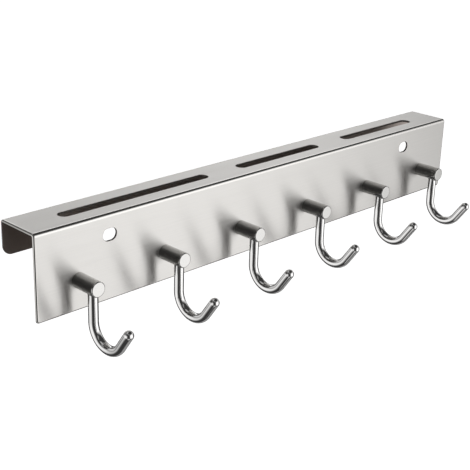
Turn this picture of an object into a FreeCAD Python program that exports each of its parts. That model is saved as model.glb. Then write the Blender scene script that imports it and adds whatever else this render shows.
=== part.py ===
import FreeCAD, Part
import math
import os

# Wall rack for knives: one folded strip of stainless sheet, with J hooks on turned posts.
# Millimetres. X runs along the rack, +Y runs into the wall and Z is up.
# The origin lies on the wall, midway between the two wall screws.

# Folded sheet
rack_length = 400.0
sheet = 1.5
inner_bend = 0.7        # inside radius of both folds
top_depth = 34.0        # face of the front plate to the wall
front_height = 56.5     # top face to the lower edge of the front plate
flange_height = 23.5    # top face to the lower edge of the wall flange
front_corner = 2.0      # rounding of the front plate's lower corners
flange_corner = 6.5     # rounding of the wall flange's lower corners
edge_round = 1.2        # rounding of the outer edge, all round the outline

# Knife slots in the top
slot_width = 8.5
slot_setback = 12.0     # face of the front plate to the near edge of the slots
slot_rib = 29.0         # metal left at each end and between two slots
long_slot = 120.0       # first slot; the short slots share what is left
short_slot_count = 2

# Wall fixing: a screw in the flange, put in through the front plate
screw_drop = 13.5       # top face down to the line of the wall screws
screw_inset = 54.5      # end of the rack to the nearest wall screw
wall_screw = 4.0
wall_screw_head = 7.5
wall_screw_play = 0.5
head_play = 0.5         # height left around the head where it passes the front
access_reach = 2.5      # how much longer than high the access hole is

# Posts
hook_count = 6
post_inset = 30.5       # end of the rack to the nearest post
post_drop = 36.5        # top face down to the line of the posts
post_diameter = 10.0
post_length = 19.5
post_edge = 0.8         # rounding round the flat front face

# J hooks
wire = 6.35
wire_setback = 5.7      # front face of the post back to the wire's axis
wire_seat = 2.5         # how far the wire goes in past the post's axis
wire_fit = 0.05         # play all round the wire in its seat
collar_round = 1.0      # hollow rounding of the collar where the wire leaves the post
stem_drop = 22.0        # post's axis down to the start of the bend
hook_radius = 14.0      # of the wire's centreline
hook_turn = 145.0       # degrees bent; 90 would leave the tip level
tip_length = 13.0       # straight end, up to the centre of its domed tip

# Button-head screw behind each post
screw = 5.0
screw_length = 8.0
screw_fit = 0.1         # play round the screw in the tapped bore
plate_fit = 0.15        # play round the screw in the front plate
screw_end = 0.6         # chamfer on the screw's end
bore_runout = 1.5       # bore left past the end of the screw
head_diameter = 9.5
head_height = 2.75
head_rim = 0.4          # straight side under the dome
head_flat = 4.2         # flat round the socket
socket_flats = 3.0
socket_depth = 1.6

# Places that follow from the sizes above
half_length = rack_length / 2
outer_bend = inner_bend + sheet
top_z = screw_drop
front_y = -top_depth
front_back_y = front_y + sheet
front_low_z = top_z - front_height
flange_low_z = top_z - flange_height
slot_y = front_y + slot_setback + slot_width / 2
short_slot = (rack_length - long_slot - slot_rib * (short_slot_count + 2)) / short_slot_count
wall_hole = wall_screw + wall_screw_play
access_height = wall_screw_head + head_play
access_width = access_height + access_reach
post_z = top_z - post_drop
post_radius = post_diameter / 2
face_y = front_y - post_length
stem_y = face_y + wire_setback
wire_radius = wire / 2
post_pitch = (rack_length - 2 * post_inset) / (hook_count - 1)


def vec(x, y, z):
    return FreeCAD.Vector(x, y, z)


# Quarter bend in the YZ plane, from one angle to the next, in degrees from +Y towards +Z.
def bend_arc(y, z, radius, start, end):
    points = []
    for angle in (start, (start + end) / 2, end):
        turn = math.radians(angle)
        points.append(vec(-half_length, y + radius * math.cos(turn), z + radius * math.sin(turn)))
    return Part.Arc(*points).toShape()


def end_line(y1, z1, y2, z2):
    return Part.makeLine(vec(-half_length, y1, z1), vec(-half_length, y2, z2))


# Section of the folded strip: front plate, top and wall flange, with both folds rounded.
def sheet_section():
    fold_z = top_z - outer_bend
    front_fold_y = front_y + outer_bend
    back_fold_y = -outer_bend
    edges = [
        end_line(front_y, front_low_z, front_y, fold_z),
        bend_arc(front_fold_y, fold_z, outer_bend, 180, 90),
        end_line(front_fold_y, top_z, back_fold_y, top_z),
        bend_arc(back_fold_y, fold_z, outer_bend, 90, 0),
        end_line(0, fold_z, 0, flange_low_z),
        end_line(0, flange_low_z, -sheet, flange_low_z),
        end_line(-sheet, flange_low_z, -sheet, fold_z),
        bend_arc(back_fold_y, fold_z, inner_bend, 0, 90),
        end_line(back_fold_y, top_z - sheet, front_fold_y, top_z - sheet),
        bend_arc(front_fold_y, fold_z, inner_bend, 90, 180),
        end_line(front_back_y, fold_z, front_back_y, front_low_z),
        end_line(front_back_y, front_low_z, front_y, front_low_z),
    ]
    return Part.Face(Part.Wire(edges))


# Edges that run through the sheet's thickness at both ends, at the height of a lower edge.
def corner_edges(shape, z):
    found = []
    for edge in shape.Edges:
        middle = edge.BoundBox.Center
        at_end = abs(abs(middle.x) - half_length) < 0.01
        if at_end and abs(middle.z - z) < 0.01 and abs(edge.Length - sheet) < 0.01:
            found.append(edge)
    return found


# Whether a point lies on the outer skin of the folded strip.
def on_outer_skin(point):
    near = 0.001
    fold_z = top_z - outer_bend
    if point.z < fold_z + near:
        return abs(point.y - front_y) < near or abs(point.y) < near
    if abs(point.z - top_z) < near:
        return True
    centre_y = -outer_bend
    if point.y < slot_y:
        centre_y = front_y + outer_bend
    return abs(math.hypot(point.y - centre_y, point.z - fold_z) - outer_bend) < near


# Edges round the outline of the outer skin, without the lines where plates and folds meet.
def outline_edges(shape):
    found = []
    for edge in shape.Edges:
        first, last = edge.FirstParameter, edge.LastParameter
        points = [edge.valueAt(first), edge.valueAt((first + last) / 2), edge.valueAt(last)]
        fold_line = edge.Length > half_length and points[1].z > flange_low_z + 1
        if all(on_outer_skin(point) for point in points) and not fold_line:
            found.append(edge)
    return found


# Round-ended prism, standing on z = 0 and centred on the origin, long way along X.
def obround(length, width, height):
    radius = width / 2
    straight = length - width
    block = Part.makeBox(straight, width, height, vec(-straight / 2, -radius, 0))
    for side in (-1, 1):
        block = block.fuse(Part.makeCylinder(radius, height, vec(side * straight / 2, 0, 0)))
    return block.removeSplitter()


# Starts and lengths of the knife slots, from the left end.
def slot_runs():
    runs = [(-half_length + slot_rib, long_slot)]
    start = -half_length + slot_rib + long_slot + slot_rib
    for _ in range(short_slot_count):
        runs.append((start, short_slot))
        start += short_slot + slot_rib
    return runs


def post_x(index):
    return -half_length + post_inset + index * post_pitch


def make_rack_body():
    body = sheet_section().extrude(vec(rack_length, 0, 0))
    body = body.makeFillet(front_corner, corner_edges(body, front_low_z))
    body = body.makeFillet(flange_corner, corner_edges(body, flange_low_z))
    body = body.makeFillet(edge_round, outline_edges(body))
    through = sheet * 3

    cuts = []
    for start, length in slot_runs():
        slot = obround(length, slot_width, through)
        slot.translate(vec(start + length / 2, slot_y, top_z - through / 2 - sheet / 2))
        cuts.append(slot)

    for side in (-1, 1):
        x = side * (half_length - screw_inset)
        access = obround(access_width, access_height, through)
        access.rotate(vec(0, 0, 0), vec(1, 0, 0), 90)
        access.translate(vec(x, front_y + sheet / 2 + through / 2, 0))
        cuts.append(access)
        cuts.append(Part.makeCylinder(wall_hole / 2, through, vec(x, -through / 2, 0), vec(0, 1, 0)))

    for index in range(hook_count):
        start = vec(post_x(index), front_y - sheet, post_z)
        cuts.append(Part.makeCylinder(screw / 2 + plate_fit, through, start, vec(0, 1, 0)))
    return body.cut(Part.makeCompound(cuts))


# Solid turned about the Y axis from (radius, y) points; a point of three values ends an arc
# through the pair before it.
def turned(points):
    edges = []
    last = vec(*points[0], 0)
    for point in points[1:]:
        end = vec(*point[-2:], 0)
        if len(point) == 4:
            edges.append(Part.Arc(last, vec(*point[:2], 0), end).toShape())
        else:
            edges.append(Part.makeLine(last, end))
        last = end
    edges.append(Part.makeLine(last, vec(*points[0], 0)))
    return Part.Face(Part.Wire(edges)).revolve(vec(0, 0, 0), vec(0, 1, 0), 360)


# Hollow rounding between the bar and the wire that leaves it downwards, on a bar that lies on z = 0.
def add_collar(bar):
    stub_length = post_radius + 3 * collar_round
    stub = Part.makeCylinder(wire_radius, stub_length, vec(0, stem_y, -stub_length))
    joined = bar.fuse(stub)
    rims = []
    for edge in joined.Edges:
        box = edge.BoundBox
        round_wire = abs(box.YLength - wire) < 0.01 and abs(box.Center.y - stem_y) < 0.01
        if round_wire and box.ZMax < 0 and box.ZLength > 0.1:
            rims.append(edge)
    return joined.makeFillet(collar_round, rims)


# Round bar on the front plate, tapped from behind and cross-drilled from below for the wire.
def make_post(x):
    near = post_edge * (1 - math.sqrt(0.5))
    post = turned([
        (0, front_y),
        (post_radius, front_y),
        (post_radius, face_y + post_edge),
        (post_radius - near, face_y + near, post_radius - post_edge, face_y),
        (0, face_y),
    ])
    post = add_collar(post)
    bore_radius = screw / 2 + screw_fit
    bore_end_y = front_back_y - screw_length - bore_runout
    drill_tip = bore_radius * math.tan(math.radians(31))
    bore = turned([
        (0, front_y),
        (bore_radius, front_y),
        (bore_radius, bore_end_y),
        (0, bore_end_y - drill_tip),
    ])
    seat_low = -post_radius - 4 * collar_round
    seat_radius = wire_radius + wire_fit
    seat = Part.makeCylinder(seat_radius, wire_seat - seat_low, vec(0, stem_y, seat_low))
    post = post.cut(bore).cut(seat)
    post.translate(vec(x, 0, post_z))
    return post


# J of round wire in the YZ plane: stem down out of the post, bend towards the room, domed tip.
def make_hook(x):
    top = wire_seat - wire_fit
    bend_z = -stem_drop
    bend_y = stem_y - hook_radius
    turn = math.radians(hook_turn)
    half_turn = turn / 2
    middle = vec(0, bend_y + hook_radius * math.cos(half_turn), bend_z - hook_radius * math.sin(half_turn))
    bend_end = vec(0, bend_y + hook_radius * math.cos(turn), bend_z - hook_radius * math.sin(turn))
    tip = bend_end + vec(0, -math.sin(turn), -math.cos(turn)) * tip_length
    path = Part.Wire([
        Part.makeLine(vec(0, stem_y, top), vec(0, stem_y, bend_z)),
        Part.Arc(vec(0, stem_y, bend_z), middle, bend_end).toShape(),
        Part.makeLine(bend_end, tip),
    ])
    section = Part.Wire(Part.makeCircle(wire_radius, vec(0, stem_y, top), vec(0, 0, -1)))
    hook = path.makePipeShell([section], True, True)
    hook = hook.fuse(Part.makeSphere(wire_radius, tip)).removeSplitter()
    hook.translate(vec(x, 0, post_z))
    return hook


# Button-head screw behind the front plate, its head on the plate and its shank in the post.
def make_post_screw(x):
    radius = screw / 2
    end_y = front_back_y - screw_length
    rim_y = front_back_y + head_rim
    crown_y = front_back_y + head_height
    head_radius = head_diameter / 2
    flat_radius = head_flat / 2
    dome_r = (head_radius + flat_radius) / 2 + 0.2 * head_height
    dome_y = (rim_y + crown_y) / 2 + 0.2 * head_height
    body = turned([
        (0, end_y),
        (radius - screw_end, end_y),
        (radius, end_y + screw_end),
        (radius, front_back_y),
        (head_radius, front_back_y),
        (head_radius, rim_y),
        (dome_r, dome_y, flat_radius, crown_y),
        (0, crown_y),
    ])
    corner = socket_flats / math.sqrt(3)
    outline = []
    for step in range(7):
        angle = math.radians(60 * step)
        outline.append(vec(corner * math.cos(angle), crown_y, corner * math.sin(angle)))
    socket = Part.Face(Part.makePolygon(outline)).extrude(vec(0, -socket_depth, 0))
    body = body.cut(socket)
    body.translate(vec(x, 0, post_z))
    return body


def save(shape, name):
    shape.exportStep(os.path.join("parts", name + ".step"))


os.makedirs("parts", exist_ok=True)
save(make_rack_body(), "rack_body")
for number in range(1, hook_count + 1):
    place = post_x(number - 1)
    save(make_post(place), "hook_post_" + str(number))
    save(make_hook(place), "hook_" + str(number))
    save(make_post_screw(place), "post_screw_" + str(number))
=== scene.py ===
import math

import bmesh
import bpy
from mathutils import Matrix, Vector


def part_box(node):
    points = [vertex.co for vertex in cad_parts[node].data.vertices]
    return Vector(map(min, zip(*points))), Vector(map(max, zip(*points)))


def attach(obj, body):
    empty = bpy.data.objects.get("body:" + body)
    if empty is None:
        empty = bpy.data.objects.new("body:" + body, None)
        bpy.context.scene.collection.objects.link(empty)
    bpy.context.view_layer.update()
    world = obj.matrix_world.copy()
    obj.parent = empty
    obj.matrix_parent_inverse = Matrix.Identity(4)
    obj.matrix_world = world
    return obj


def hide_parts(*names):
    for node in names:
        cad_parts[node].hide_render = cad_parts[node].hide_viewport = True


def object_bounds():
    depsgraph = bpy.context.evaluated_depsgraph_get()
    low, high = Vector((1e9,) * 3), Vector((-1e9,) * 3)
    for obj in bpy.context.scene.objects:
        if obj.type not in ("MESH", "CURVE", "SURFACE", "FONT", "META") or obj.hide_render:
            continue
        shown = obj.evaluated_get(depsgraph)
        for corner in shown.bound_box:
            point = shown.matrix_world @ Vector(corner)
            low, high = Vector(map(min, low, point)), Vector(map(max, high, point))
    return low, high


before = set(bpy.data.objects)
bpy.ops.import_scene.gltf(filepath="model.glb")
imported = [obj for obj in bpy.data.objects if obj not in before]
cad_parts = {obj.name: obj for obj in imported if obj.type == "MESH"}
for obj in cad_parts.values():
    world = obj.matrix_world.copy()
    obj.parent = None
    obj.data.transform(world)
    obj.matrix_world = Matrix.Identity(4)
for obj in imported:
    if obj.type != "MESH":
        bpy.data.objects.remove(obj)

cadLow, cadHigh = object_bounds()  # the CAD box, before anything is added
mm = 0.001
plainWhite = (1, 1, 1, 1)
print("frame loaded")


def hexColour(text):
    # sRGB hex to the linear colour that a shader takes, by the standard curve
    channels = [int(text[i:i + 2], 16) / 255 for i in (1, 3, 5)]
    linear = [c / 12.92 if c <= 0.04045 else ((c + 0.055) / 1.055) ** 2.4 for c in channels]
    return (*linear, 1.0)


def addNode(tree, kind, settings=None, inputs=None):
    # one node: settings are its own properties; inputs are values or another node's output
    node = tree.nodes.new(kind)
    for name, value in (settings or {}).items():
        setattr(node, name, value)
    for name, value in (inputs or {}).items():
        if isinstance(value, bpy.types.NodeSocket):
            tree.links.new(value, node.inputs[name])
        else:
            node.inputs[name].default_value = value
    return node


def newMaterial(name):
    material = bpy.data.materials.new(name)
    material.use_nodes = True
    material.node_tree.nodes.clear()
    return material


def addToScene(name, data):
    thing = bpy.data.objects.new(name, data)
    bpy.context.scene.collection.objects.link(thing)
    return thing


def plainMesh(thing):
    # what an object's curve or modifiers give, as a mesh of its own
    graph = bpy.context.evaluated_depsgraph_get()
    return bpy.data.meshes.new_from_object(thing.evaluated_get(graph), depsgraph=graph)


# stainless sheet, belt-brushed along the rack's length
steelGrain = {
    "colour": "#cfcdca",          # bare stainless, a little warm
    "roughness": 0.34,
    "roughnessSwing": 0.04,       # duller and glossier streaks
    "anisotropy": 0.96,
    "smearTurn": 0.25,            # of a full turn, so that reflections smear across the grain
    "streakWidth": 0.9 * mm,      # real grit lines are 0.1 mm; drawn coarser so that they show
    "streakLength": 70 * mm,
    "streakDetail": 4.0,          # layers of finer lines on the streaks
    "streakFineness": 0.7,        # how strong the finer lines are
    "streakRange": (0.3, 0.7),    # nearly all of the noise lies between these
    "streakTint": (0.96, 1.03),   # darkest and lightest streak, times the colour
    "bumpStrength": 0.06,
    "bumpHeight": 0.05 * mm,
}


def brushedSheet():
    # fine streaks run with the grain and reflections smear across it
    material = newMaterial("BrushedStainlessSheet")
    tree = material.node_tree
    place = addNode(tree, "ShaderNodeTexCoord")
    across = 1 / steelGrain["streakWidth"]
    stretch = addNode(tree, "ShaderNodeMapping", {"vector_type": "POINT"}, {
        "Vector": place.outputs["Object"],
        "Scale": (1 / steelGrain["streakLength"], across, across),
    })
    streaks = addNode(tree, "ShaderNodeTexNoise", {}, {
        "Vector": stretch.outputs["Vector"], "Scale": 1.0,
        "Detail": steelGrain["streakDetail"], "Roughness": steelGrain["streakFineness"],
    })
    weak, strong = steelGrain["streakRange"]
    dark, light = steelGrain["streakTint"]
    tint = addNode(tree, "ShaderNodeMapRange", {}, {
        "Value": streaks.outputs["Fac"], "From Min": weak, "From Max": strong,
        "To Min": dark, "To Max": light,
    })
    colour = addNode(tree, "ShaderNodeVectorMath", {"operation": "SCALE"}, {
        0: hexColour(steelGrain["colour"])[:3], "Scale": tint.outputs["Result"],
    })
    middle, swing = steelGrain["roughness"], steelGrain["roughnessSwing"]
    gloss = addNode(tree, "ShaderNodeMapRange", {}, {
        "Value": streaks.outputs["Fac"], "From Min": weak, "From Max": strong,
        "To Min": middle - swing, "To Max": middle + swing,
    })
    bump = addNode(tree, "ShaderNodeBump", {}, {
        "Height": streaks.outputs["Fac"],
        "Strength": steelGrain["bumpStrength"], "Distance": steelGrain["bumpHeight"],
    })
    tangent = addNode(tree, "ShaderNodeTangent", {"direction_type": "UV_MAP", "uv_map": "grain"})
    surface = addNode(tree, "ShaderNodeBsdfPrincipled", {}, {
        "Base Color": colour.outputs["Vector"], "Metallic": 1.0,
        "Roughness": gloss.outputs["Result"],
        "Anisotropic": steelGrain["anisotropy"], "Anisotropic Rotation": steelGrain["smearTurn"],
        "Tangent": tangent.outputs["Tangent"], "Normal": bump.outputs["Normal"],
    })
    addNode(tree, "ShaderNodeOutputMaterial", {}, {"Surface": surface.outputs["BSDF"]})
    return material


def plainSteel(name, colour, roughness):
    # stainless without a grain: one colour and one gloss all over
    material = newMaterial(name)
    tree = material.node_tree
    surface = addNode(tree, "ShaderNodeBsdfPrincipled", {}, {
        "Base Color": hexColour(colour), "Metallic": 1.0, "Roughness": roughness,
    })
    addNode(tree, "ShaderNodeOutputMaterial", {}, {"Surface": surface.outputs["BSDF"]})
    return material


sheetSteel = brushedSheet()
# inner skin, left as rolled: duller and a touch brown; its darker colour is partly painted shade,
# for the shade inside the channel
millFinishAndShadeSteel = plainSteel("MillFinishAndPaintedShadeInside", "#a69c96", 0.5)
# cut edge of the sheet, rounded and buffed: thin bright and dark lines round the outline
edgeSteel = plainSteel("BuffedStainlessEdge", "#b9b7b4", 0.1)
# outer skin stretched over the folds: smoother, so the fold is a crisp dark line
foldSteel = plainSteel("BurnishedFold", steelGrain["colour"], 0.2)
# walls of the slots and holes, as punched and rough; their dark colour is painted shade, standing
# in for the shade inside the channel
shadedWallSteel = plainSteel("PunchedWallPaintedShade", "#6e6a66", 0.5)
# turned stainless bar, finely sanded: clear reflections, a little darker than the wire's
barSteel = plainSteel("SatinTurnedStainless", "#bcbbb9", 0.1)
# electropolished stainless wire: sharp bright and dark lines along it
wireSteel = plainSteel("PolishedStainlessWire", "#d8d7d6", 0.1)
# plain machined stainless screw: even, medium gloss
screwSteel = plainSteel("BrightStainlessScrew", "#c4c3c1", 0.22)
print("materials made")


# the folded sheet
rack = {
    "thickness": 1.5 * mm,
    "innerBend": 0.7 * mm,      # inside radius of both folds
    "bendSteps": 10,
    "frontCorner": 2.0 * mm,    # radius of the front plate's lower corners
    "flangeCorner": 6.5 * mm,
    "flangeHeight": 23.5 * mm,
    "slotWidth": 8.5 * mm,
    "slotSetback": 12.0 * mm,   # from the front face to the slots
    "slotRib": 29.0 * mm,       # sheet left between two slots, and at both ends
    "longSlot": 120.0 * mm,
    "shortSlots": 2,            # these share the rest of the length
    "screwDrop": 13.5 * mm,     # from the top face down to the wall screws
    "screwInset": 54.5 * mm,    # from each end to its wall screw
    "wallHole": 4.5 * mm,
    "accessWidth": 10.5 * mm,
    "accessHeight": 8.0 * mm,
    "edgeRound": 1.2 * mm,      # outer edge of the outline, rounded over and polished
    "innerRound": 0.15 * mm,    # inner edge of the outline
    "holeRound": 0.2 * mm,      # rims of slots and holes
    "roundSteps": 6,            # faces across a rounding
    "arcStep": 6.0,             # degrees between points on holes and corners
    "weld": 0.0001 * mm,        # points nearer than this are one
    "grainTile": 100,           # mm of sheet to one unit of the UV map
}

# material slots of the sheet: both skins, the cut edge, the folds' outside and the hole walls
outerSkin, innerSkin, cutEdge, foldBand, holeWall = range(5)

sheetLow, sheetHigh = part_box("rack_body")
halfLength = (sheetHigh.x - sheetLow.x) / 2
outerBend = rack["innerBend"] + rack["thickness"]
frontLeg = sheetHigh.z - sheetLow.z - outerBend       # flat part of the front plate
topFlat = sheetHigh.y - sheetLow.y - 2 * outerBend
flangeLeg = rack["flangeHeight"] - outerBend
bendRun = math.pi / 2 * outerBend                     # along the outer skin
backBend = frontLeg + bendRun + topFlat               # where the second fold starts
blankEnd = frontLeg + topFlat + flangeLeg + 2 * bendRun


def arcPoints(x, s, radius, start, end):
    steps = max(2, round(abs(end - start) / rack["arcStep"]))
    angles = [math.radians(start + (end - start) * i / steps) for i in range(steps + 1)]
    return [(x + radius * math.cos(a), s + radius * math.sin(a)) for a in angles]


def obroundPoints(x, s, length, width):
    reach = (length - width) / 2
    right = arcPoints(x + reach, s, width / 2, -90, 90)
    return right + arcPoints(x - reach, s, width / 2, 90, 270)


# The flat blank is drawn on (x, s): s runs up the front plate, over the top and down the flange.
def blankLoops():
    front, flange = rack["frontCorner"], rack["flangeCorner"]
    outline = arcPoints(-halfLength + front, front, front, 180, 270)
    outline += arcPoints(halfLength - front, front, front, 270, 360)
    outline += arcPoints(halfLength - flange, blankEnd - flange, flange, 0, 90)
    outline += arcPoints(-halfLength + flange, blankEnd - flange, flange, 90, 180)
    loops = [outline]
    topStart = frontLeg + bendRun - outerBend         # s of the front face, were the fold square
    slotLine = topStart + rack["slotSetback"] + rack["slotWidth"] / 2
    ribs = rack["slotRib"] * (rack["shortSlots"] + 2)
    shortSlot = (2 * halfLength - rack["longSlot"] - ribs) / rack["shortSlots"]
    x = -halfLength + rack["slotRib"]
    for length in [rack["longSlot"]] + [shortSlot] * rack["shortSlots"]:
        loops.append(obroundPoints(x + length / 2, slotLine, length, rack["slotWidth"]))
        x += length + rack["slotRib"]
    accessLine = frontLeg + outerBend - rack["screwDrop"]
    wallLine = backBend + bendRun + rack["screwDrop"] - outerBend
    for side in (-1, 1):
        x = side * (halfLength - rack["screwInset"])
        loops.append(obroundPoints(x, accessLine, rack["accessWidth"], rack["accessHeight"]))
        loops.append(arcPoints(x, wallLine, rack["wallHole"] / 2, 0, 360)[:-1])
    return loops


# (y, z) of the folded strip's outer skin at length s along the blank, and of its outward normal
def foldedPlace(s):
    yFront, zFold = sheetLow.y, sheetHigh.z - outerBend
    if s <= frontLeg:
        return (yFront, sheetLow.z + s), (-1, 0)
    if s <= frontLeg + bendRun:
        a = (s - frontLeg) / outerBend
        place = (yFront + outerBend * (1 - math.cos(a)), zFold + outerBend * math.sin(a))
        return place, (-math.cos(a), math.sin(a))
    if s <= backBend:
        return (yFront + outerBend + s - frontLeg - bendRun, sheetHigh.z), (0, 1)
    if s <= backBend + bendRun:
        a = (s - backBend) / outerBend
        place = (sheetHigh.y - outerBend * (1 - math.sin(a)), zFold + outerBend * math.cos(a))
        return place, (math.sin(a), math.cos(a))
    return (sheetHigh.y, zFold - (s - backBend - bendRun)), (1, 0)


# Whether a place on the edge of the flat blank lies on its outline, and not on a slot or a hole
def onOutline(x, s):
    margin = rack["flangeCorner"]
    return abs(x) > halfLength - margin or s < margin or s > blankEnd - margin


def inFold(s):
    return frontLeg < s < frontLeg + bendRun or backBend < s < backBend + bendRun


# The modifiers of a piece worked into its mesh
def settle(piece):
    finished = plainMesh(piece)
    for polygon in finished.polygons:
        polygon.use_smooth = True
    piece.modifiers.clear()
    piece.data = finished


# Each face with its middle on the flat blank
def blankPlaces(mesh):
    grain = mesh.uv_layers["grain"].data
    for polygon in mesh.polygons:
        places = [grain[i].uv * rack["grainTile"] * mm for i in polygon.loop_indices]
        yield polygon, sum(places, Vector((0, 0))) / len(places)


# How wide each edge of the sheet's rim is rounded, as a share of the widest
def weighEdges(mesh):
    skinOf = {}
    rim = {}
    for polygon, place in blankPlaces(mesh):
        for key in polygon.edge_keys:
            if polygon.material_index == cutEdge:
                rim[key] = place
            else:
                skinOf[key] = polygon.material_index
    weight = mesh.attributes.new("bevel_weight_edge", "FLOAT", "EDGE")
    for edge in mesh.edges:
        if edge.key not in rim or edge.key not in skinOf:
            continue
        width = rack["holeRound"]
        if onOutline(*rim[edge.key]):
            width = rack["edgeRound"] if skinOf[edge.key] == outerSkin else rack["innerRound"]
        weight.data[edge.index].value = width / rack["edgeRound"]


# Both skins shade as the folded plates do, and the rounded rims run smoothly into them
def aimNormals(mesh):
    grain = mesh.uv_layers["grain"].data
    aimed = [place.vector.copy() for place in mesh.vertex_normals]
    for polygon in mesh.polygons:
        if polygon.material_index in (outerSkin, innerSkin):
            side = 1 if polygon.material_index == outerSkin else -1
            for corner in polygon.loop_indices:
                _, (y, z) = foldedPlace(grain[corner].uv.y * rack["grainTile"] * mm)
                aimed[mesh.loops[corner].vertex_index] = Vector((0, y, z)) * side
    mesh.normals_split_custom_set([aimed[loop.vertex_index] for loop in mesh.loops])


def flatBlank():
    curve = bpy.data.curves.new("blank", "CURVE")
    curve.dimensions = "2D"
    curve.fill_mode = "FRONT"
    for loop in blankLoops():
        spline = curve.splines.new("POLY")
        spline.points.add(len(loop) - 1)
        for point, (x, s) in zip(spline.points, loop):
            point.co = (x, s, 0, 1)
        spline.use_cyclic_u = True
    holder = addToScene("blank", curve)
    flat = plainMesh(holder)
    bpy.data.objects.remove(holder)
    return flat


# The blank cut across at each step of its folds, given its UV map while flat, and folded
def foldedSkin(flat):
    work = bmesh.new()
    work.from_mesh(flat)
    bmesh.ops.remove_doubles(work, verts=work.verts, dist=rack["weld"])
    for start in (frontLeg, backBend):
        for step in range(rack["bendSteps"] + 1):
            s = start + bendRun * step / rack["bendSteps"]
            everything = work.verts[:] + work.edges[:] + work.faces[:]
            bmesh.ops.bisect_plane(work, geom=everything, dist=rack["weld"],
                                   plane_co=(0, s, 0), plane_no=(0, 1, 0))
    grain = work.loops.layers.uv.new("grain")
    for face in work.faces:
        for loop in face.loops:
            loop[grain].uv = [length / mm / rack["grainTile"] for length in loop.vert.co.xy]
    for vert in work.verts:
        (y, z), _ = foldedPlace(vert.co.y)
        vert.co = (vert.co.x, y, z)
    bmesh.ops.recalc_face_normals(work, faces=work.faces)
    top = max(work.faces, key=lambda face: face.calc_center_median().z)
    if top.normal.z < 0:
        bmesh.ops.reverse_faces(work, faces=work.faces)
    mesh = bpy.data.meshes.new("foldedSheet")
    work.to_mesh(mesh)
    work.free()
    return mesh


def foldedSheet():
    mesh = foldedSkin(flatBlank())
    for material in (sheetSteel, millFinishAndShadeSteel, edgeSteel, foldSteel, shadedWallSteel):
        mesh.materials.append(material)
    piece = addToScene("foldedSheet", mesh)
    wall = piece.modifiers.new("thickness", "SOLIDIFY")
    wall.thickness = rack["thickness"]
    wall.offset = -1           # inwards from the outer skin
    wall.use_even_offset = True
    wall.material_offset = innerSkin
    wall.material_offset_rim = cutEdge
    settle(piece)
    weighEdges(piece.data)
    edge = piece.modifiers.new("deburr", "BEVEL")
    edge.width = rack["edgeRound"]
    edge.segments = rack["roundSteps"]
    edge.limit_method = "WEIGHT"
    edge.use_clamp_overlap = False
    edge.loop_slide = False
    edge.material = cutEdge
    settle(piece)
    aimNormals(piece.data)
    # the folds' outside takes its smoother steel, and the walls of slots and holes the dark steel
    # of painted shade
    for polygon, (x, s) in blankPlaces(piece.data):
        if polygon.material_index == outerSkin and inFold(s):
            polygon.material_index = foldBand
        elif polygon.material_index == cutEdge and not onOutline(x, s):
            polygon.material_index = holeWall
    return piece


sheetPiece = foldedSheet()
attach(sheetPiece, "root")
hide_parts("rack_body")
print("sheet folded")


# What repeats along the rack: a path with a radius at each point, swept and set out in a row
def rowTree():
    tree = bpy.data.node_groups.new("sweptRow", "GeometryNodeTree")
    sockets = tree.interface
    sockets.new_socket("Geometry", in_out="INPUT", socket_type="NodeSocketGeometry")
    for name, kind in (
        ("Count", "NodeSocketInt"),
        ("Pitch", "NodeSocketFloat"),
        ("Sides", "NodeSocketInt"),
        ("Weld", "NodeSocketFloat"),
        ("Sharp Angle", "NodeSocketFloat"),
        ("Material", "NodeSocketMaterial"),
    ):
        sockets.new_socket(name, in_out="INPUT", socket_type=kind)
    sockets.new_socket("Geometry", in_out="OUTPUT", socket_type="NodeSocketGeometry")
    given = addNode(tree, "NodeGroupInput")
    ring = addNode(tree, "GeometryNodeCurvePrimitiveCircle", {}, {
        "Resolution": given.outputs["Sides"], "Radius": 1.0,
    })
    radius = addNode(tree, "GeometryNodeInputRadius")
    swept = addNode(tree, "GeometryNodeCurveToMesh", {}, {
        "Curve": given.outputs["Geometry"], "Profile Curve": ring.outputs["Curve"],
        "Scale": radius.outputs["Radius"], "Fill Caps": True,
    })
    closed = addNode(tree, "GeometryNodeMergeByDistance", {}, {
        "Geometry": swept.outputs["Mesh"], "Distance": given.outputs["Weld"],
    })
    smooth = addNode(tree, "GeometryNodeSetShadeSmooth", {}, {
        "Geometry": closed.outputs["Geometry"], "Shade Smooth": True,
    })
    angle = addNode(tree, "GeometryNodeInputMeshEdgeAngle")
    sharp = addNode(tree, "FunctionNodeCompare", {"operation": "GREATER_THAN"}, {
        "A": angle.outputs["Unsigned Angle"], "B": given.outputs["Sharp Angle"],
    })
    creased = addNode(tree, "GeometryNodeSetShadeSmooth", {"domain": "EDGE"}, {
        "Geometry": smooth.outputs["Geometry"], "Selection": sharp.outputs["Result"],
        "Shade Smooth": False,
    })
    step = addNode(tree, "ShaderNodeCombineXYZ", {}, {"X": given.outputs["Pitch"]})
    places = addNode(tree, "GeometryNodeMeshLine", {}, {
        "Count": given.outputs["Count"], "Offset": step.outputs["Vector"],
    })
    copies = addNode(tree, "GeometryNodeInstanceOnPoints", {}, {
        "Points": places.outputs["Mesh"], "Instance": creased.outputs["Geometry"],
    })
    real = addNode(tree, "GeometryNodeRealizeInstances", {}, {
        "Geometry": copies.outputs["Instances"],
    })
    dressed = addNode(tree, "GeometryNodeSetMaterial", {}, {
        "Geometry": real.outputs["Geometry"], "Material": given.outputs["Material"],
    })
    addNode(tree, "NodeGroupOutput", {}, {"Geometry": dressed.outputs["Geometry"]})
    return tree


sweptRow = rowTree()


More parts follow.
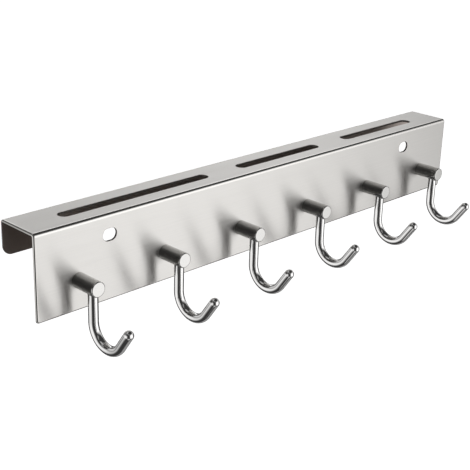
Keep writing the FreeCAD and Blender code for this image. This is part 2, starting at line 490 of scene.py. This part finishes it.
def makeRow(name, path, values):
    # path: (point, radius) pairs for the first one of the row
    curve = bpy.data.curves.new(name + "Path", "CURVE")
    curve.dimensions = "3D"
    spline = curve.splines.new("POLY")
    spline.points.add(len(path) - 1)
    for point, (place, radius) in zip(spline.points, path):
        point.co = (*place, 1)
        point.radius = radius
    holder = addToScene(name + "Path", curve)
    row = holder.modifiers.new("row", "NODES")
    row.node_group = sweptRow
    for item in sweptRow.interface.items_tree:
        if item.in_out == "INPUT" and item.name in values:
            row[item.identifier] = values[item.name]
    mesh = plainMesh(holder)
    bpy.data.objects.remove(holder)
    mesh.name = name
    return addToScene(name, mesh)


def nodeNames(start):
    return sorted(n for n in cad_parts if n.startswith(start) and n[len(start):].isdigit())


hookNodes = nodeNames("hook_")
postNodes = nodeNames("hook_post_")
screwNodes = nodeNames("post_screw_")


def rowPlaces(names):
    # x of the first node's middle, and the pitch of the row
    middles = [(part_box(n)[0].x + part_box(n)[1].x) / 2 for n in names]
    return middles[0], (middles[-1] - middles[0]) / (len(middles) - 1)


# what the copies of the CAD solids need, both posts and screws
turnedCopy = {
    "weld": 0.001 * mm,        # joins the solids' loose triangles
    "sharpAngle": 30.0,        # degrees; edges that turn more than this stay crisp
}


# Copies of CAD solids with their loose triangles merged, as one smooth-shaded piece
def dressedCopies(name, nodes, material):
    work = bmesh.new()
    for node in nodes:
        work.from_mesh(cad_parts[node].data)
    bmesh.ops.remove_doubles(work, verts=work.verts, dist=turnedCopy["weld"])
    for edge in work.edges:
        edge.smooth = edge.calc_face_angle(math.pi) < math.radians(turnedCopy["sharpAngle"])
    for face in work.faces:
        face.smooth = True
    mesh = bpy.data.meshes.new(name)
    work.to_mesh(mesh)
    work.free()
    mesh.materials.append(material)
    piece = addToScene(name, mesh)
    normals = piece.modifiers.new("normals", "WEIGHTED_NORMAL")
    normals.keep_sharp = True
    return piece


hook = {
    "wire": 6.35 * mm,
    "radius": 14.0 * mm,       # of the bend, to the middle of the wire
    "turn": 145.0,             # degrees
    "tip": 13.0 * mm,          # straight part after the bend, without its dome
    "capDrop": 0.001 * mm,     # the flat end opens from a point to the whole wire within this
    "stemSteps": 8,
    "bendSteps": 72,
    "tipSteps": 6,
    "domeSteps": 16,
    "sides": 64,
    "weld": 0.0002 * mm,       # closes the point at each end
    "sharpAngle": 50.0,        # degrees; keeps the rim of the flat end crisp
}


def makeHooks():
    low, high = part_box(hookNodes[0])
    x, pitch = rowPlaces(hookNodes)
    radius, bend, turn = hook["wire"] / 2, hook["radius"], math.radians(hook["turn"])
    y, top = high.y - radius, high.z
    zBend = low.z + bend + radius      # the wire's lowest point is under the bend's middle
    path = [((x, y, top), 0.0), ((x, y, top - hook["capDrop"]), radius)]
    for step in range(1, hook["stemSteps"] + 1):
        path.append(((x, y, top + (zBend - top) * step / hook["stemSteps"]), radius))
    for step in range(1, hook["bendSteps"] + 1):
        a = turn * step / hook["bendSteps"]
        path.append(((x, y - bend * (1 - math.cos(a)), zBend - bend * math.sin(a)), radius))
    last = Vector(path[-1][0])
    along = Vector((0, -math.sin(turn), -math.cos(turn)))
    for step in range(1, hook["tipSteps"] + 1):
        path.append((last + along * hook["tip"] * step / hook["tipSteps"], radius))
    end = last + along * hook["tip"]
    for step in range(1, hook["domeSteps"] + 1):
        a = math.pi / 2 * step / hook["domeSteps"]
        path.append((end + along * radius * math.sin(a), radius * math.cos(a)))
    return makeRow("wireHooks", path, {
        "Count": len(hookNodes), "Pitch": pitch, "Sides": hook["sides"], "Weld": hook["weld"],
        "Sharp Angle": math.radians(hook["sharpAngle"]), "Material": wireSteel,
    })


hookPiece = makeHooks()
postPiece = dressedCopies("hookPosts", postNodes, barSteel)
screwPiece = dressedCopies("postScrews", screwNodes, screwSteel)
for piece, names, slot in (
    (hookPiece, hookNodes, "polished_wire"),
    (postPiece, postNodes, "satin_post"),
    (screwPiece, screwNodes, "screw_steel"),
):
    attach(piece, "root")
    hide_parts(*names)
print("posts, hooks and screws made")


studio = {
    "floorDrop": 300 * mm,     # the rack hangs this far above the floor
    "floorHalf": 3.0,          # metres
    "paper": "#f4f4f4",
    "paperLift": 0.8,          # what the room leaves the lit paper short of white
    "room": 0.05,              # light from where no panel is
    # each soft panel in degrees: azimuth from +X, half width, lower and upper edge, fade
    "panels": [
        # the front plate and the flat ends of the posts
        {"azimuth": 295, "half": 30, "low": -40, "high": 32, "fade": 16, "strength": 1.7},
        # left edges of the stems, and the left end of the sheet
        {"azimuth": 160, "half": 32, "low": -36, "high": 16, "fade": 17, "strength": 1.3},
        # the top
        {"azimuth": 56, "half": 27, "low": 8, "high": 37, "fade": 9, "strength": 1.7},
        # undersides of the bends
        {"azimuth": 15, "half": 70, "low": -100, "high": -44, "fade": 12, "strength": 0.4},
        # the top as seen from above
        {"azimuth": 118, "half": 70, "low": 54, "high": 80, "fade": 8, "strength": 0.6},
        # right edges of the stems, and the bright spots of the domes
        {"azimuth": 0, "half": 26, "low": 4, "high": 26, "fade": 8, "strength": 1.0},
        # behind the rack
        {"azimuth": 97, "half": 20, "low": -20, "high": 24, "fade": 10, "strength": 0.8},
        # one high and one low for the front plate as seen from the front right
        {"azimuth": 228, "half": 28, "low": 44, "high": 58, "fade": 6, "strength": 0.4},
        {"azimuth": 230, "half": 28, "low": -74, "high": -44, "fade": 8, "strength": 0.8},
        # the top as seen from the front right
        {"azimuth": 135, "half": 20, "low": 30, "high": 48, "fade": 8, "strength": 0.45},
    ],
}


def makeFloor():
    mesh = bpy.data.meshes.new("studioFloor")
    half = studio["floorHalf"]
    z = cadLow.z - studio["floorDrop"]
    corners = [(-half, -half, z), (half, -half, z), (half, half, z), (-half, half, z)]
    mesh.from_pydata(corners, [], [(0, 1, 2, 3)])
    material = newMaterial("WhitePaper")
    tree = material.node_tree
    light = addNode(tree, "ShaderNodeLightPath")
    matte = addNode(tree, "ShaderNodeBsdfDiffuse", {}, {"Color": hexColour(studio["paper"])})
    # seen directly or through glass, the lit paper is lifted to white and keeps the rack's shadow
    lift = addNode(tree, "ShaderNodeEmission", {}, {
        "Color": plainWhite, "Strength": studio["paperLift"],
    })
    white = addNode(tree, "ShaderNodeAddShader", {}, {
        0: matte.outputs["BSDF"], 1: lift.outputs["Emission"],
    })
    direct = addNode(tree, "ShaderNodeMath", {"operation": "MAXIMUM"}, {
        0: light.outputs["Is Camera Ray"], 1: light.outputs["Is Transmission Ray"],
    })
    paper = addNode(tree, "ShaderNodeMixShader", {}, {
        0: direct.outputs["Value"], 1: matte.outputs["BSDF"], 2: white.outputs["Shader"],
    })
    # the paper is clear to what the metal mirrors and to the light of the room's low panels,
    # and to a camera below it
    past = addNode(tree, "ShaderNodeMath", {"operation": "MAXIMUM"}, {
        0: light.outputs["Is Glossy Ray"], 1: light.outputs["Is Shadow Ray"],
    })
    side = addNode(tree, "ShaderNodeNewGeometry")
    through = addNode(tree, "ShaderNodeMath", {"operation": "MAXIMUM"}, {
        0: past.outputs["Value"], 1: side.outputs["Backfacing"],
    })
    clear = addNode(tree, "ShaderNodeBsdfTransparent")
    seen = addNode(tree, "ShaderNodeMixShader", {}, {
        0: through.outputs["Value"], 1: paper.outputs["Shader"], 2: clear.outputs["BSDF"],
    })
    addNode(tree, "ShaderNodeOutputMaterial", {}, {"Surface": seen.outputs["Shader"]})
    mesh.materials.append(material)
    floor = addToScene("studioFloor", mesh)


# Height on the unit sphere of an elevation in degrees, carried on past straight up and down
def sphereHeight(degrees):
    if abs(degrees) > 90:
        return degrees / 90
    return math.sin(math.radians(degrees))


# One soft panel of the room, as a strength for each direction
def addPanel(tree, way, panel):
    azimuth, fade = math.radians(panel["azimuth"]), panel["fade"]
    flat = addNode(tree, "ShaderNodeVectorMath", {"operation": "MULTIPLY"}, {0: way, 1: (1, 1, 0)})
    bearing = addNode(tree, "ShaderNodeVectorMath", {"operation": "NORMALIZE"}, {
        0: flat.outputs["Vector"],
    })
    toward = addNode(tree, "ShaderNodeVectorMath", {"operation": "DOT_PRODUCT"}, {
        0: bearing.outputs["Vector"], 1: (math.cos(azimuth), math.sin(azimuth), 0),
    })
    across = addNode(tree, "ShaderNodeMapRange", {"interpolation_type": "SMOOTHSTEP"}, {
        "Value": toward.outputs["Value"],
        "From Min": math.cos(math.radians(panel["half"] + fade)),
        "From Max": math.cos(math.radians(max(panel["half"] - fade, 0))),
        "To Max": panel["strength"],
    })
    height = addNode(tree, "ShaderNodeSeparateXYZ", {}, {"Vector": way})
    under = addNode(tree, "ShaderNodeMapRange", {"interpolation_type": "SMOOTHSTEP"}, {
        "Value": height.outputs["Z"],
        "From Min": sphereHeight(panel["low"] - fade),
        "From Max": sphereHeight(panel["low"] + fade),
        "To Max": across.outputs["Result"],
    })
    over = addNode(tree, "ShaderNodeMapRange", {"interpolation_type": "SMOOTHSTEP"}, {
        "Value": height.outputs["Z"],
        "From Min": sphereHeight(panel["high"] - fade),
        "From Max": sphereHeight(panel["high"] + fade),
        "To Min": under.outputs["Result"],
        "To Max": 0.0,
    })
    return over.outputs["Result"]


# The room that lights the rack and shows in its metal, and plain white where the camera looks
def makeWorld():
    world = bpy.data.worlds.new("studio")
    bpy.context.scene.world = world
    world.use_nodes = True
    tree = world.node_tree
    tree.nodes.clear()
    light = addNode(tree, "ShaderNodeLightPath")
    way = addNode(tree, "ShaderNodeTexCoord").outputs["Generated"]
    total = studio["room"]
    for panel in studio["panels"]:
        brighter = addNode(tree, "ShaderNodeMath", {"operation": "MAXIMUM"}, {
            0: total, 1: addPanel(tree, way, panel),
        })
        total = brighter.outputs["Value"]
    room = addNode(tree, "ShaderNodeBackground", {}, {"Color": plainWhite, "Strength": total})
    white = addNode(tree, "ShaderNodeBackground", {}, {"Color": plainWhite, "Strength": 1.0})
    direct = addNode(tree, "ShaderNodeMath", {"operation": "MAXIMUM"}, {
        0: light.outputs["Is Camera Ray"], 1: light.outputs["Is Transmission Ray"],
    })
    seen = addNode(tree, "ShaderNodeMixShader", {}, {
        0: direct.outputs["Value"], 1: room.outputs["Background"], 2: white.outputs["Background"],
    })
    addNode(tree, "ShaderNodeOutputWorld", {}, {"Surface": seen.outputs["Shader"]})


# solved from the sheet's straight edges in the photograph
cameraSetting = {
    "place": Vector((-511.2, -503.4, 233.2)) * mm,
    "forward": Vector((0.66067, 0.65626, -0.36448)),
    "roll": 1.802,             # degrees, the photograph leans a little
    "lens": 80.67,             # in millimetres, as the sensor is
    "sensor": 36,
}


def makeCamera():
    data = bpy.data.cameras.new("camera")
    data.lens = cameraSetting["lens"]
    data.sensor_width = cameraSetting["sensor"]
    camera = addToScene("camera", data)
    forward = cameraSetting["forward"].normalized()
    level = forward.cross(Vector((0, 0, 1))).normalized()
    turn = Matrix.Rotation(math.radians(-cameraSetting["roll"]), 3, forward)
    right = turn @ level
    up = right.cross(forward)
    basis = Matrix((right, up, -forward)).transposed()
    camera.matrix_world = Matrix.Translation(cameraSetting["place"]) @ basis.to_4x4()
    bpy.context.scene.camera = camera


makeFloor()
makeWorld()
makeCamera()
bpy.context.scene.view_settings.view_transform = "Standard"
print("studio ready")
